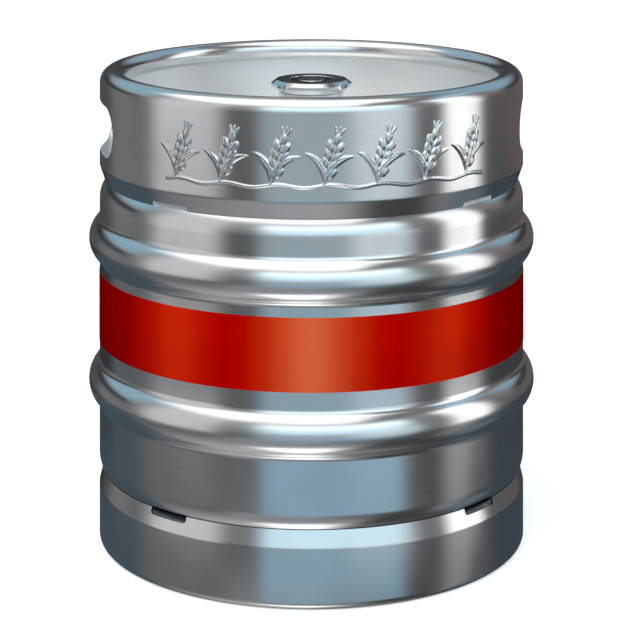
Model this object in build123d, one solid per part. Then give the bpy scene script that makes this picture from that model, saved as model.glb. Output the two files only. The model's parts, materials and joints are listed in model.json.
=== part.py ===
from build123d import *
import os
from math import acos, atan2, degrees, hypot, sqrt

# A 30 litre stainless steel beer keg with its flat-top two-way valve.
#
# Millimetres, +Z up along the keg's axis.  The origin is in the middle of the
# plane the foot stands on.  The hand holes are on +X and -X, the drain notches
# are midway between the axes.  Every piece is drawn where it sits in the
# assembled keg, with the spear screwed home and both valves shut.

# ---------------------------------------------------------------- vessel sizes
HEIGHT = 400.0  # foot plane to stacking rim
BODY_R = 181.5  # cylinder and chimes, outside
RING_R = 190.5  # over the rolling rings
SHELL_T = 1.5  # sheet of the pressure shell
CHIME_T = 2.0  # sheet of the chimes
SEAM_GAP = 0.02  # left open between welded or seated faces

UPPER_RING_Z = 257.0
LOWER_RING_Z = 137.0
RING_HALF = 17.2  # half height of a ring where it leaves the wall
RING_BLEND_R = 7.0  # hollow blend from ring to wall

TOP_KNUCKLE_Z = 290.5  # cylinder ends, knuckle starts
TOP_KNUCKLE_R = 23.0
TOP_CROWN_R = 350.0
FOOT_KNUCKLE_Z = 75.5
FOOT_KNUCKLE_R = 24.0
FOOT_CROWN_R = 400.0

GIRTH_Z = 197.0  # weld between the two half shells
GIRTH_W = 3.0
GIRTH_BEAD = 0.5  # stands proud on the inside only

BAND_LOW_Z = 170.9  # painted band between the rings
BAND_HIGH_Z = 229.5
BAND_T = 0.3

# ---------------------------------------------------------------- chime sizes
TOP_SKIRT_Z = 319.4  # wall ends, skirt leans in to the shell
TOP_SKIRT_EDGE = (175.6, 302.7)  # run past the shell, then coped to it
FOOT_SKIRT_Z = 48.5
FOOT_SKIRT_EDGE = (177.55, 64.2)
SKIRT_BEND_R = 6.0
RIM_OUTER_R = 11.0  # rolled stacking rim, outer shoulder
RIM_CURL_R = 9.0  # rolled stacking rim, curl
RIM_WIDTH = 21.5
RIM_DEPTH = 18.5
FOOT_OUTER_R = 6.2  # rolled foot, outer shoulder
FOOT_CURL_R = 6.2
FOOT_WIDTH = 15.4
FOOT_DEPTH = 12.8
CURL_GAP = 0.6  # curl edge to the inside of the wall

HAND_HOLE_Z = 352.2
HAND_HOLE_L = 120.0
HAND_HOLE_H = 41.0
HAND_LIP_DEPTH = 9.0  # from the outside of the wall
HAND_LIP_ROUND = 3.0

NOTCH_L = 39.0  # drain notches beside the shell
NOTCH_END_R = 3.0
TOP_NOTCH_Z = 309.2  # top of the top chime's notches
FOOT_NOTCH_Z = 57.0  # bottom of the foot's notches
NOTCH_COUNT = 4

WELD_LEG = 3.2
WELD_MARGIN = 4.0  # weld stops short of each notch

# ---------------------------------------------------------------- neck sizes
NECK_R = 28.0
NECK_LOW_Z = 346.0
NECK_HIGH_Z = 378.5
NECK_BORE_R = 25.4
NECK_SEAT_R = 26.2  # counterbore that holds the neck seal
NECK_SEAT_DEPTH = 3.0
NECK_WELD_H = 3.5

# ---------------------------------------------------------------- valve sizes
VALVE_TOP_Z = 389.0  # flat top of the valve, which the coupler seals on
FLANGE_R = 34.8  # rim the coupler slides under
FLANGE_H = 5.3
FLANGE_ROUND = 1.0
FLANGE_BEVEL_W = 4.4  # broad bevel from the flat top down to the flange's edge
FLANGE_BEVEL_H = 2.8
FLANGE_CONE_H = 10.0  # cone under the flange ends here
FLANGE_SLOT_W = 5.0  # notches for the spear key
FLANGE_SLOT_D = 2.2
MOUTH_R = 18.7
LIP_H = 4.0
CAVITY_R = 22.0
CAVITY_H = 34.0
CAGE_SEAT_R = 23.2
CIRCLIP_GROOVE_R = 23.8
CIRCLIP_TOP = 36.2
CIRCLIP_H = 1.2
BODY_H = 40.0
SEAL_GROOVE_R = 24.0
THREAD_R = 25.3  # crests just clear the neck's bore
THREAD_DEPTH = 0.9
THREAD_PITCH = 1.814
THREAD_TOP = 14.0
THREAD_TURNS = 10

GAS_SEAL_R = 21.4
GAS_SEAL_BORE = 11.0
GAS_SEAL_LOW = 6.3
WASHER_R = 21.0
WASHER_BORE = 13.4
WASHER_LOW = 7.5
CUP_FLANGE_R = 20.8
CUP_FLANGE_LOW = 9.5
CUP_R = 16.5
CUP_BORE = 14.5
CUP_LOW = 26.0
CUP_END = 30.0

TUBE_R = 8.5
TUBE_BORE = 7.5
TUBE_END_Z = 28.0
SPIGOT_LEN = 6.0

PLUG_R = 10.8
PLUG_FLANGE_R = 13.0
PLUG_FLANGE_LOW = 8.5
STEM_R = 3.0
STEM_END = 26.0

CAGE_FLANGE_R = 23.1
CAGE_R = 21.8
CAGE_BORE = 20.6
CAGE_LOW = 54.0
CAGE_FLOOR_T = 2.0
CAGE_HOLE_R = 9.0
CAGE_WINDOWS = 4

GAS_SPRING_R = 18.8
GAS_SPRING_WIRE = 2.2
GAS_SPRING_TURNS = 6.0
BEER_SPRING_R = 12.2
BEER_SPRING_WIRE = 1.2
BEER_SPRING_TURNS = 5.0


# ---------------------------------------------------------------- helpers
def turned(points):
    """Solid of revolution about Z.

    Each point is (radius, height) or (radius, height, corner round).
    """
    corners = [(point[0], point[1]) for point in points]
    rounds = [point[2] if len(point) > 2 else 0 for point in points]
    outline = FilletPolyline(*corners, radius=rounds, close=True)
    return revolve(Plane.XZ * make_face(outline.edges()), Axis.Z)


def spun_sheet(line, thickness, side):
    """Turned sheet metal: the edges of its outside line, thickened towards one side."""
    section = Wire(line).offset_2d(thickness, side=side)
    return revolve(Plane.XZ * make_face(section.edges()), Axis.Z)


def parallel_corners(points, distance):
    """Corners of the line that runs beside a polyline, at a distance to its left."""
    corners = [Vector(*point) for point in points]
    normals = [(b - a).normalized().rotate(Axis.Z, 90) for a, b in zip(corners, corners[1:])]
    beside = [corners[0] + normals[0] * distance]
    for corner, before, after in zip(corners[1:], normals, normals[1:]):
        beside.append(corner + (before + after) * (distance / (1 + before.dot(after))))
    beside.append(corners[-1] + normals[-1] * distance)
    return beside


def rolled_sheet(points, rounds, thickness, left):
    """Turned sheet metal with rolled edges, from the corners of its outside line."""
    inner_points = parallel_corners(points, left * thickness)
    outer = FilletPolyline(*points, radius=rounds)
    inner = FilletPolyline(*inner_points, radius=[r - thickness for r in rounds])
    ends = Line(outer @ 0, inner @ 0).edges() + Line(outer @ 1, inner @ 1).edges()
    return revolve(Plane.XZ * make_face(outer.edges() + inner.edges() + ends), Axis.Z)


def below_top(*points):
    """Outline points whose heights are given as depths below the valve's flat top."""
    return [(point[0], VALVE_TOP_Z - point[1], *point[2:]) for point in points]


def tube(outer_r, inner_r, low_z, high_z):
    return turned([(inner_r, low_z), (outer_r, low_z), (outer_r, high_z), (inner_r, high_z)])


def around(shape, count, first_angle=0.0):
    """Copies of a shape spaced evenly about the keg's axis."""
    step = 360 / count
    return [Rot(0, 0, first_angle + step * i) * shape for i in range(count)]


def through_x(outline, z, start_x, end_x):
    """Prism from an outline facing along +X, centred on height z."""
    face = Plane.YZ.offset(start_x) * Pos(0, z) * outline
    return extrude(face, end_x - start_x)


def coil_spring(mean_r, wire, low_z, high_z, turns):
    """Compression spring whose wire just reaches both seats."""
    rise = high_z - low_z - wire - 2 * SEAM_GAP
    path = Helix(pitch=rise / turns, height=rise, radius=mean_r)
    start = Plane(origin=path @ 0, z_dir=path % 0)
    spring = sweep(start * Circle(wire / 2), path=path, is_frenet=True)
    return Pos(0, 0, low_z + wire / 2 + SEAM_GAP) * spring


def save(name, shape):
    shape.label = name
    export_step(shape, f"parts/{name}.step")


# ---------------------------------------------------------------- shells
def crown_drop(knuckle_r, crown_r):
    """Height from the crown's centre to the knuckle's centre."""
    run = BODY_R - knuckle_r
    return sqrt((crown_r - knuckle_r) ** 2 - run**2)


def dome_arcs(knuckle_z, knuckle_r, crown_r, end_r, up, grow=0.0):
    """Knuckle and crown arcs from the cylinder in to radius end_r."""
    run = BODY_R - knuckle_r
    drop = crown_drop(knuckle_r, crown_r)
    join = up * degrees(atan2(drop, run))
    end = up * degrees(acos(end_r / crown_r))
    knuckle = CenterArc((run, knuckle_z), knuckle_r + grow, 0, join)
    crown = CenterArc((0, knuckle_z - up * drop), crown_r + grow, join, end - join)
    return knuckle.edges() + crown.edges()


def dome_block(knuckle_z, knuckle_r, crown_r, up):
    """Solid with the outside shape of a dome, used to cope pieces that meet it."""
    arcs = dome_arcs(knuckle_z, knuckle_r, crown_r, 0, up, grow=SEAM_GAP)
    apex = (0, knuckle_z + up * (crown_r + SEAM_GAP - crown_drop(knuckle_r, crown_r)))
    back = Polyline(apex, (0, knuckle_z), (BODY_R + SEAM_GAP, knuckle_z))
    return revolve(Plane.XZ * make_face(arcs + back.edges()), Axis.Z)


def top_dome_block():
    return dome_block(TOP_KNUCKLE_Z, TOP_KNUCKLE_R, TOP_CROWN_R, 1)


def foot_dome_block():
    return dome_block(FOOT_KNUCKLE_Z, FOOT_KNUCKLE_R, FOOT_CROWN_R, -1)


def knuckle_height(radius, knuckle_z, knuckle_r, up):
    """Height of the knuckle's outside at a radius."""
    return knuckle_z + up * sqrt(knuckle_r**2 - (radius - BODY_R + knuckle_r) ** 2)


def top_dome_height(radius):
    """Height of the top dome's crown at a radius."""
    centre_z = TOP_KNUCKLE_Z - crown_drop(TOP_KNUCKLE_R, TOP_CROWN_R)
    return centre_z + sqrt(TOP_CROWN_R**2 - radius**2)


def ringed_wall(ring_z, end_z, up):
    """Outside of the cylinder, from the girth weld over a rolling ring."""
    start = (BODY_R, GIRTH_Z + up * (GIRTH_W / 2 + SEAM_GAP))
    near = (BODY_R, ring_z - up * RING_HALF)
    far = (BODY_R, ring_z + up * RING_HALF)
    ring = ThreePointArc(near, (RING_R, ring_z), far)
    wall = Wire([Line(start, near).edge(), ring.edge(), Line(far, (BODY_R, end_z)).edge()])
    foot_of_ring = [v for v in wall.vertices() if v.Y in (near[1], far[1])]
    return wall.fillet_2d(RING_BLEND_R, foot_of_ring).edges()


def upper_shell():
    line = ringed_wall(UPPER_RING_Z, TOP_KNUCKLE_Z, 1)
    line += dome_arcs(TOP_KNUCKLE_Z, TOP_KNUCKLE_R, TOP_CROWN_R, NECK_R - SHELL_T, 1)
    neck_hole = Pos(0, 0, TOP_KNUCKLE_Z) * Cylinder(NECK_R + SEAM_GAP, HEIGHT)
    return spun_sheet(line, SHELL_T, Side.LEFT) - neck_hole


def lower_shell():
    line = ringed_wall(LOWER_RING_Z, FOOT_KNUCKLE_Z, -1)
    line += dome_arcs(FOOT_KNUCKLE_Z, FOOT_KNUCKLE_R, FOOT_CROWN_R, 0, -1)
    return spun_sheet(line, SHELL_T, Side.RIGHT)


def girth_weld():
    """Butt weld, flush outside and with a low bead inside."""
    half = GIRTH_W / 2
    inner_r = BODY_R - SHELL_T
    bead_r = inner_r - GIRTH_BEAD
    outline = [
        (inner_r, GIRTH_Z - half),
        (BODY_R, GIRTH_Z - half),
        (BODY_R, GIRTH_Z + half),
        (inner_r, GIRTH_Z + half),
        (bead_r, GIRTH_Z + half / 2),
        (bead_r, GIRTH_Z - half / 2),
    ]
    return turned(outline)


def colour_band():
    inner_r = BODY_R + SEAM_GAP
    return tube(inner_r + BAND_T, inner_r, BAND_LOW_Z, BAND_HIGH_Z)


# ---------------------------------------------------------------- chimes
def curl_end_r():
    return BODY_R - CHIME_T - CURL_GAP


def notch_tools(low_z, high_z, extra=0.0):
    """Radial cutters for the drain notches."""
    outline = RectangleRounded(NOTCH_L + extra, high_z - low_z, NOTCH_END_R)
    cutter = through_x(outline, (low_z + high_z) / 2, BODY_R - 20, BODY_R + 10)
    return around(cutter, NOTCH_COUNT, 45)


def hand_hole_prisms(grow):
    """Oblong prisms through both sides of the wall."""
    outline = SlotOverall(HAND_HOLE_L + 2 * grow, HAND_HOLE_H + 2 * grow)
    prism = through_x(outline, HAND_HOLE_Z, BODY_R - 30, BODY_R + 10)
    return around(prism, 2)


def at_hand_hole_rim(edge):
    """True for an edge where a hand hole breaks out of the wall."""
    centre = edge.center()
    radius = hypot(centre.X, centre.Y)
    inside_length = abs(centre.Y) < HAND_HOLE_L / 2 + 1
    inside_height = abs(centre.Z - HAND_HOLE_Z) < HAND_HOLE_H / 2 + 1
    return inside_length and inside_height and abs(radius - BODY_R) < 1.0


def top_chime():
    """Handling chime: rolled stacking rim, hand holes, skirt coped to the dome."""
    inner_rim = BODY_R - RIM_WIDTH
    low = HEIGHT - RIM_DEPTH
    points = [
        TOP_SKIRT_EDGE,
        (BODY_R, TOP_SKIRT_Z),
        (BODY_R, HEIGHT),
        (inner_rim, HEIGHT),
        (inner_rim, low),
        (curl_end_r(), low),
    ]
    rounds = [SKIRT_BEND_R, RIM_OUTER_R, RIM_CURL_R, RIM_CURL_R]
    chime = rolled_sheet(points, rounds, CHIME_T, 1) - top_dome_block()
    lip_zone = tube(
        BODY_R - CHIME_T / 2,
        BODY_R - HAND_LIP_DEPTH,
        HAND_HOLE_Z - HAND_HOLE_H,
        HAND_HOLE_Z + HAND_HOLE_H,
    )
    for boss in hand_hole_prisms(CHIME_T):
        chime += boss & lip_zone
    for hole in hand_hole_prisms(0):
        chime -= hole
    chime = fillet(chime.edges().filter_by(at_hand_hole_rim), HAND_LIP_ROUND)
    for notch in notch_tools(TOP_SKIRT_EDGE[1] - NOTCH_END_R - 1, TOP_NOTCH_Z):
        chime -= notch
    return chime


def foot_chime():
    """Foot ring: rolled foot, skirt coped to the lower dome."""
    inner_roll = BODY_R - FOOT_WIDTH
    points = [
        FOOT_SKIRT_EDGE,
        (BODY_R, FOOT_SKIRT_Z),
        (BODY_R, 0),
        (inner_roll, 0),
        (inner_roll, FOOT_DEPTH),
        (curl_end_r(), FOOT_DEPTH),
    ]
    rounds = [SKIRT_BEND_R, FOOT_OUTER_R, FOOT_CURL_R, FOOT_CURL_R]
    chime = rolled_sheet(points, rounds, CHIME_T, -1) - foot_dome_block()
    for notch in notch_tools(FOOT_NOTCH_Z, FOOT_SKIRT_EDGE[1] + NOTCH_END_R + 1):
        chime -= notch
    return chime


def skirt_weld(skirt_edge, skirt_z, knuckle_z, knuckle_r, block, up):
    """Fillet weld ring in the corner between a dome and the inside of a skirt."""
    run = BODY_R - skirt_edge[0]
    rise = skirt_z - skirt_edge[1]
    length = hypot(run, rise)
    inset = CHIME_T + SEAM_GAP
    base_r = skirt_edge[0] - inset * abs(rise) / length
    base_z = skirt_edge[1] + inset * up * run / length

    def skirt_r(z):
        return base_r + (z - base_z) * run / rise

    corner_z = knuckle_height(base_r, knuckle_z, knuckle_r, up)
    toe_z = corner_z + up * WELD_LEG
    toe_r = base_r - WELD_LEG
    root_z = corner_z - up * WELD_LEG
    outline = [
        (skirt_r(root_z), root_z),
        (skirt_r(toe_z), toe_z),
        (toe_r, knuckle_height(toe_r, knuckle_z, knuckle_r, up)),
        (toe_r, root_z),
    ]
    return turned(outline) - block


def top_chime_weld():
    weld = skirt_weld(
        TOP_SKIRT_EDGE, TOP_SKIRT_Z, TOP_KNUCKLE_Z, TOP_KNUCKLE_R, top_dome_block(), 1
    )
    for gap in notch_tools(TOP_NOTCH_Z - 15, TOP_NOTCH_Z + 15, 2 * WELD_MARGIN):
        weld -= gap
    return weld


def foot_chime_weld():
    weld = skirt_weld(
        FOOT_SKIRT_EDGE, FOOT_SKIRT_Z, FOOT_KNUCKLE_Z, FOOT_KNUCKLE_R, foot_dome_block(), -1
    )
    for gap in notch_tools(FOOT_NOTCH_Z - 15, FOOT_NOTCH_Z + 15, 2 * WELD_MARGIN):
        weld -= gap
    return weld


# ---------------------------------------------------------------- neck
def thread_outline(crest_r, root_r):
    """Ring grooves at the pitch of the neck thread, from the top turn down."""
    points = []
    for turn in range(THREAD_TURNS):
        start = THREAD_TOP + turn * THREAD_PITCH
        points.append((crest_r, start))
        points.append((crest_r, start + THREAD_PITCH * 0.2))
        points.append((root_r, start + THREAD_PITCH * 0.55))
        points.append((root_r, start + THREAD_PITCH * 0.65))
    points.append((crest_r, THREAD_TOP + THREAD_TURNS * THREAD_PITCH))
    return points


def neck():
    """Threaded neck ring, welded through the hole in the top dome."""
    low = VALVE_TOP_Z - NECK_LOW_Z
    high = VALVE_TOP_Z - NECK_HIGH_Z
    seat = high + NECK_SEAT_DEPTH
    outline = [
        (NECK_R, low),
        (NECK_R, high, FLANGE_ROUND / 2),
        (NECK_SEAT_R, high),
        (NECK_SEAT_R, seat),
        (NECK_BORE_R, seat),
        *thread_outline(NECK_BORE_R, NECK_BORE_R + THREAD_DEPTH),
        (NECK_BORE_R, low),
    ]
    return turned(below_top(*outline))


def neck_weld():
    inner_r = NECK_R + SEAM_GAP
    outer_r = NECK_R + NECK_WELD_H
    inner_z = top_dome_height(inner_r) + SEAM_GAP
    outer_z = top_dome_height(outer_r) + SEAM_GAP
    middle_r = NECK_R + NECK_WELD_H * 0.38
    middle_z = inner_z + NECK_WELD_H * 0.38
    face = ThreePointArc((outer_r, outer_z), (middle_r, middle_z), (inner_r, inner_z + NECK_WELD_H))
    legs = Polyline((inner_r, inner_z + NECK_WELD_H), (inner_r, inner_z), (outer_r, outer_z))
    return revolve(Plane.XZ * make_face(face.edges() + legs.edges()), Axis.Z)


# ---------------------------------------------------------------- spear, fixed pieces
def fitting_body():
    """Flanged and threaded body of the valve."""
    flange = below_top(
        (MOUTH_R, 0, 0.5),
        (FLANGE_R - FLANGE_BEVEL_W, 0, 0.8),
        (FLANGE_R, FLANGE_BEVEL_H, 0.4),
        (FLANGE_R, FLANGE_H, 0.4),
        (NECK_R, FLANGE_CONE_H),
        (SEAL_GROOVE_R, FLANGE_CONE_H),
        (SEAL_GROOVE_R, THREAD_TOP - 0.5),
        (THREAD_R, THREAD_TOP - 0.5),
    )
    thread = below_top(*thread_outline(THREAD_R, THREAD_R - THREAD_DEPTH))
    inside = below_top(
        (THREAD_R, BODY_H),
        (CAGE_SEAT_R, BODY_H),
        (CAGE_SEAT_R, CIRCLIP_TOP + CIRCLIP_H),
        (CIRCLIP_GROOVE_R, CIRCLIP_TOP + CIRCLIP_H),
        (CIRCLIP_GROOVE_R, CIRCLIP_TOP),
        (CAGE_SEAT_R, CIRCLIP_TOP),
        (CAGE_SEAT_R, CAVITY_H),
        (CAVITY_R, CAVITY_H),
        (CAVITY_R, LIP_H),
        (MOUTH_R, LIP_H),
    )
    body = turned(flange + thread + inside)
    key_slot = Pos(FLANGE_R, 0, VALVE_TOP_Z - FLANGE_H / 2) * Box(
        2 * FLANGE_SLOT_D, FLANGE_SLOT_W, 2 * FLANGE_H
    )
    for slot in around(key_slot, 4, 45):
        body -= slot
    return body


def neck_seal():
    """Rubber ring squeezed between the valve body and the neck."""
    inner_r = SEAL_GROOVE_R + SEAM_GAP
    outer_r = NECK_SEAT_R - SEAM_GAP
    top = FLANGE_CONE_H + SEAM_GAP
    bottom = THREAD_TOP - 0.5 - SEAM_GAP
    corners = [(inner_r, top), (outer_r, top), (outer_r, bottom), (inner_r, bottom)]
    return turned(below_top(*[(r, depth, 0.6) for r, depth in corners]))


def spring_cage():
    """Flanged basket that carries the gas spring's lower end."""
    top = CAVITY_H + SEAM_GAP
    floor = CAGE_LOW - CAGE_FLOOR_T
    outline = below_top(
        (CAGE_BORE, top),
        (CAGE_FLANGE_R, top),
        (CAGE_FLANGE_R, CIRCLIP_TOP - SEAM_GAP),
        (CAGE_R, CIRCLIP_TOP - SEAM_GAP),
        (CAGE_R, CAGE_LOW, 1.0),
        (CAGE_HOLE_R, CAGE_LOW),
        (CAGE_HOLE_R, floor),
        (CAGE_BORE, floor),
    )
    cage = turned(outline)
    window_z = VALVE_TOP_Z - (BODY_H + floor) / 2 - 1
    window = through_x(RectangleRounded(16, 10, 3), window_z, CAGE_HOLE_R + 4, CAGE_R + 4)
    for opening in around(window, CAGE_WINDOWS):
        cage -= opening
    return cage


def cage_retaining_ring():
    """Snap ring with a gap, sprung into its groove under the cage's flange."""
    top = CIRCLIP_TOP + 2 * SEAM_GAP
    bottom = CIRCLIP_TOP + CIRCLIP_H - 0.1
    outer_r = CIRCLIP_GROOVE_R - 0.08
    inner_r = CAGE_R + 0.2
    ring = turned(below_top((inner_r, top), (outer_r, top), (outer_r, bottom), (inner_r, bottom)))
    gap = Pos(0, -CAGE_SEAT_R, VALVE_TOP_Z - CIRCLIP_TOP) * Box(9, 6, 6)
    return ring - gap


def gas_spring():
    low = VALVE_TOP_Z - CAGE_LOW + CAGE_FLOOR_T
    high = VALVE_TOP_Z - CUP_FLANGE_LOW
    return coil_spring(GAS_SPRING_R, GAS_SPRING_WIRE, low, high, GAS_SPRING_TURNS)


# ---------------------------------------------------------------- gas valve
def gas_seal():
    """Rubber ring that shuts against the underside of the body's mouth."""
    shoulder = LIP_H + SEAM_GAP
    outline = below_top(
        (GAS_SEAL_BORE, 0.8, 0.6),
        (MOUTH_R - 0.3, 0.8, 0.6),
        (MOUTH_R - 0.3, shoulder),
        (GAS_SEAL_R, shoulder),
        (GAS_SEAL_R, GAS_SEAL_LOW),
        (GAS_SEAL_BORE, GAS_SEAL_LOW),
    )
    return turned(outline)


def seal_insert():
    """Steel washer that stiffens the gas seal."""
    top = GAS_SEAL_LOW + SEAM_GAP
    outline = [(WASHER_BORE, top), (WASHER_R, top), (WASHER_R, WASHER_LOW), (WASHER_BORE, WASHER_LOW)]
    return turned(below_top(*outline))


def valve_cup():
    """Cup that carries the gas seal and narrows to the down tube."""
    top = WASHER_LOW + SEAM_GAP
    spigot_r = TUBE_BORE - SEAM_GAP
    spigot_bore = TUBE_BORE - 1.1
    outline = below_top(
        (CUP_BORE, top),
        (CUP_FLANGE_R, top),
        (CUP_FLANGE_R, CUP_FLANGE_LOW),
        (CUP_R, CUP_FLANGE_LOW),
        (CUP_R, CUP_LOW, 1.5),
        (TUBE_R, CUP_END),
        (spigot_r, CUP_END),
        (spigot_r, CUP_END + SPIGOT_LEN),
        (spigot_bore, CUP_END + SPIGOT_LEN),
        (spigot_bore, CUP_END - 0.4),
        (CUP_BORE, CUP_LOW),
    )
    return turned(outline)


def stem_guide():
    """Three-armed guide for the plug's stem, seat of the beer spring."""
    top = CUP_LOW - 2
    rim = turned(
        below_top((10.8, top), (CUP_BORE - SEAM_GAP, top), (CUP_BORE - SEAM_GAP, CUP_LOW), (10.8, CUP_LOW))
    )
    bush = turned(
        below_top((STEM_R + 0.2, top - 1), (5, top - 1), (5, CUP_LOW + 1), (STEM_R + 0.2, CUP_LOW + 1))
    )
    arm = Pos(7.9, 0, VALVE_TOP_Z - top - 1) * Box(6.6, 2.6, 2)
    guide = rim + bush
    for spoke in around(arm, 3):
        guide += spoke
    return guide


def down_tube():
    """Straight tube from the cup to just above the bottom dome, slotted at its end."""
    tube_top = VALVE_TOP_Z - CUP_END - SEAM_GAP
    pipe = tube(TUBE_R, TUBE_BORE, TUBE_END_Z, tube_top)
    slot = Pos(TUBE_R, 0, TUBE_END_Z) * Box(6, 4, 12)
    for opening in around(slot, 4, 45):
        pipe -= opening
    return pipe


# ---------------------------------------------------------------- beer valve
def beer_spring():
    low = VALVE_TOP_Z - CUP_LOW + 2
    high = VALVE_TOP_Z - PLUG_FLANGE_LOW
    return coil_spring(BEER_SPRING_R, BEER_SPRING_WIRE, low, high, BEER_SPRING_TURNS)


def centre_plug():
    """Plug the coupler's probe pushes down to let the beer up."""
    shoulder = GAS_SEAL_LOW + SEAM_GAP
    outline = below_top(
        (0, 0.3),
        (PLUG_R, 0.3, 0.6),
        (PLUG_R, shoulder),
        (PLUG_FLANGE_R, shoulder),
        (PLUG_FLANGE_R, PLUG_FLANGE_LOW),
        (STEM_R, PLUG_FLANGE_LOW, 0.5),
        (STEM_R, STEM_END, 0.8),
        (0, STEM_END),
    )
    return turned(outline)


PIECES = [
    upper_shell,
    lower_shell,
    girth_weld,
    top_chime,
    foot_chime,
    top_chime_weld,
    foot_chime_weld,
    neck,
    neck_weld,
    colour_band,
    fitting_body,
    neck_seal,
    spring_cage,
    cage_retaining_ring,
    gas_spring,
    gas_seal,
    seal_insert,
    valve_cup,
    stem_guide,
    down_tube,
    beer_spring,
    centre_plug,
]

os.makedirs("parts", exist_ok=True)
for piece in PIECES:
    save(piece.__name__, piece())
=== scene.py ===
"""Looks of the beer keg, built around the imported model.

Shapes are worked out in millimetres about the keg's axis and scaled to metres when a piece is made.
"""

import json
import math

import bmesh
import bpy
import numpy as np
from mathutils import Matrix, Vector


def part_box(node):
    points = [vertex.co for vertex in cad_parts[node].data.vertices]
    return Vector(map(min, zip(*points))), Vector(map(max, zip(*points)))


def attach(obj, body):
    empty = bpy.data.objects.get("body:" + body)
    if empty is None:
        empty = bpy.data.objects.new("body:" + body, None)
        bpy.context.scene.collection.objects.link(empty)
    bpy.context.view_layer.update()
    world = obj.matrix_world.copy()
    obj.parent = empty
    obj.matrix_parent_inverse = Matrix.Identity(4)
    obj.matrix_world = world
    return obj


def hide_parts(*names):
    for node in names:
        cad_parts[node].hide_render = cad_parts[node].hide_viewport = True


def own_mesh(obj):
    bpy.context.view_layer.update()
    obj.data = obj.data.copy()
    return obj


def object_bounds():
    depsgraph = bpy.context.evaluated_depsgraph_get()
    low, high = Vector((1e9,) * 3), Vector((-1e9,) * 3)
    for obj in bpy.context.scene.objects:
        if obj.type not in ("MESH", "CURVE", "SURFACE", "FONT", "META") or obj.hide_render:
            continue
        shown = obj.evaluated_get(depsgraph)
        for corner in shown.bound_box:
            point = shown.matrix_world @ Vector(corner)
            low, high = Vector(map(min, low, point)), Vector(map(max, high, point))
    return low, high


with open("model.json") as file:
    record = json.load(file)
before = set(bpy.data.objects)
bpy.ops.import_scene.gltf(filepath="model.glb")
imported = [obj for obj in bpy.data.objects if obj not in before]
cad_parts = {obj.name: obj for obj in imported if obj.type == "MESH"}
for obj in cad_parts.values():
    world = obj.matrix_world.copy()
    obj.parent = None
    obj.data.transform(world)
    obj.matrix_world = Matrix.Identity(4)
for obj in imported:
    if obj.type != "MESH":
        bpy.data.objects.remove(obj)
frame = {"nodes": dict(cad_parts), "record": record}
cad_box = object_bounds()

MM = 0.001

# ---------------------------------------------------------------- sizes, millimetres
HEIGHT = round(cad_box[1].z / MM, 1)
BODY_R = round(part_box("foot_chime")[1].x / MM, 1)
RING_R = round(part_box("upper_shell")[1].x / MM, 1)
BAND_LOW_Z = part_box("colour_band")[0].z / MM
BAND_HIGH_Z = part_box("colour_band")[1].z / MM
GIRTH_LOW_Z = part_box("lower_shell")[1].z / MM
GIRTH_HIGH_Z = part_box("upper_shell")[0].z / MM

SHELL_T = 1.5
CHIME_T = 2.0
BAND_T = 0.3
SEAM_GAP = 0.02
SKIRT_GAP = 0.35  # dark line between a skirt's edge and the dome

UPPER_RING_Z = 257.0
LOWER_RING_Z = 137.0
RING_HALF = 17.2
RING_BLEND_R = 7.0

TOP_KNUCKLE = (158.5, 290.5, 23.0)  # centre radius, centre height, radius of the arc
TOP_CROWN_R = 350.0
FOOT_KNUCKLE = (157.5, 75.5, 24.0)
FOOT_CROWN_R = 400.0
NECK_R = 28.0

SKIRT_BEND_R = 6.0
TOP_SKIRT_Z = 319.4
TOP_SKIRT_EDGE = (175.6, 302.7)
FOOT_SKIRT_Z = 48.5
FOOT_SKIRT_EDGE = (177.55, 64.2)
CURL_END_R = BODY_R - CHIME_T - 0.6
RIM_WIDTH = 21.5
RIM_DEPTH = 18.5
RIM_OUTER_R = 11.0
RIM_CURL_R = 9.0
FOOT_WIDTH = 15.4
FOOT_DEPTH = 12.8
FOOT_ROLL_R = 6.2
WALL_LOW_Z = 322.0  # straight wall of the top chime, where the relief and hand holes are
WALL_HIGH_Z = 387.4
WALL_ROWS = 118
SKIRT_ROWS = 10

HOLE_Z = 352.2
HOLE_HALF_L = 60.0
HOLE_HALF_H = 20.5
HOLE_LIP_DEPTH = 9.0
HOLE_ROUND = 3.0
HOLE_SECTOR = 24.0  # degrees each side of the hole's middle that its patch covers

NOTCH_HALF_L = 19.5
NOTCH_END_R = 3.0
NOTCH_BEVEL = 0.6  # how much less the sheet's inner face is cut back than its outer face
TOP_NOTCH_Z = 309.2
FOOT_NOTCH_Z = 57.0
NOTCH_ANGLES = (45, 135, 225, 315)

FRONT = 270.0  # degrees, the direction of -Y
RELIEF_SECTOR = 48.0
RELIEF_STEP = 0.17
RELIEF_H = 1.3
EAR_PITCH = 42.0  # one barley ear and its leaves
EAR_COUNT = 7
EAR_FOOT_Z = 333.0
EAR_LEAN = 74.0  # degrees from level
GRAIN_FIRST = 11.0  # along the ear, from its foot to its lowest pair of grains
GRAIN_PITCH = 6.6
GRAIN_OUT = 3.8  # from the ear's middle line to a grain's centre
GRAIN_LEAN = 23  # degrees from the ear
GRAIN_HALF = (5.1, 2.75)  # half length and half width
TIP_GRAIN_HALF = (5.2, 2.6)
AWN_FAN = 24  # degrees between the awns at the tip
# Leaves: lean in degrees, reach, and how far the outer and the inner edge bow.
RISING_LEAF = (42, 33, 9.5, 3.6)
DROOPING_LEAF = (122, 30, 8.5, 3.0)

WELD_LEG = 3.2
WELD_MARGIN = 4.0  # weld stops short of each notch
NECK_WELD_H = 3.5
RIPPLE_PITCH = 2.6
RIPPLE_H = 0.22
RIPPLE_STEPS = 7  # grid steps along one ripple
RIPPLE_LAG = 0.45  # how far a ripple bows back in its middle, in ripples
BEAD_BELLY = 0.35
BEAD_TAPER = 3.0

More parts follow.
